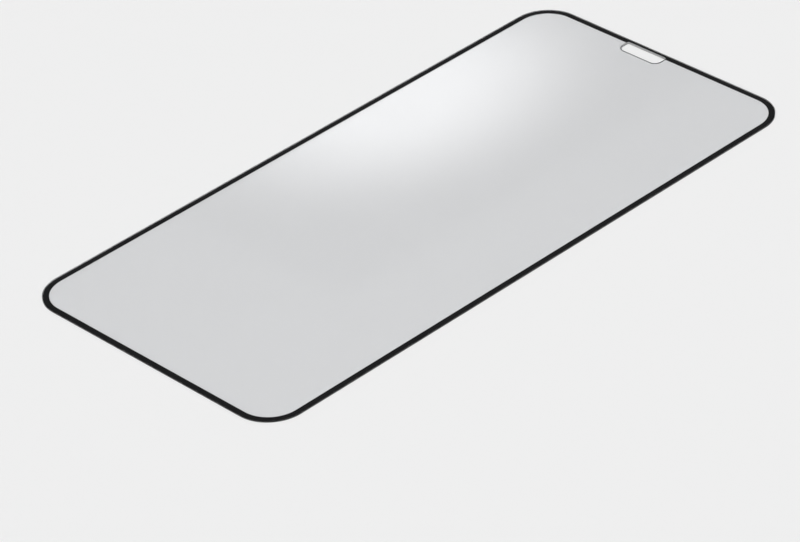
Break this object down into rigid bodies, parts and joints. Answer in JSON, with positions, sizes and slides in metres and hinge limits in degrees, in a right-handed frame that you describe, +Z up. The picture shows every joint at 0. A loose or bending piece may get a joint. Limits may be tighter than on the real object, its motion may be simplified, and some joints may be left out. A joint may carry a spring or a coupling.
{
  "type": "phone screen protector",
  "caption": "Flat clear tempered-glass sheet with rounded corners, a black printed border and a speaker slot, laid over a phone's display to protect it.",
  "frame": {"origin": "middle of the underside", "axes": "+Y along the sheet towards the speaker slot, +Z up through the glass, +X across the sheet"},
  "size_m": [0.0672, 0.1424, 0.0005],
  "materials": {
    "clear_glass": "polished",
    "black_print": "satin"
  },
  "bodies": {
    "root": {"glass_sheet": "clear_glass", "black_border": "black_print"}
  },
  "joints": []
}
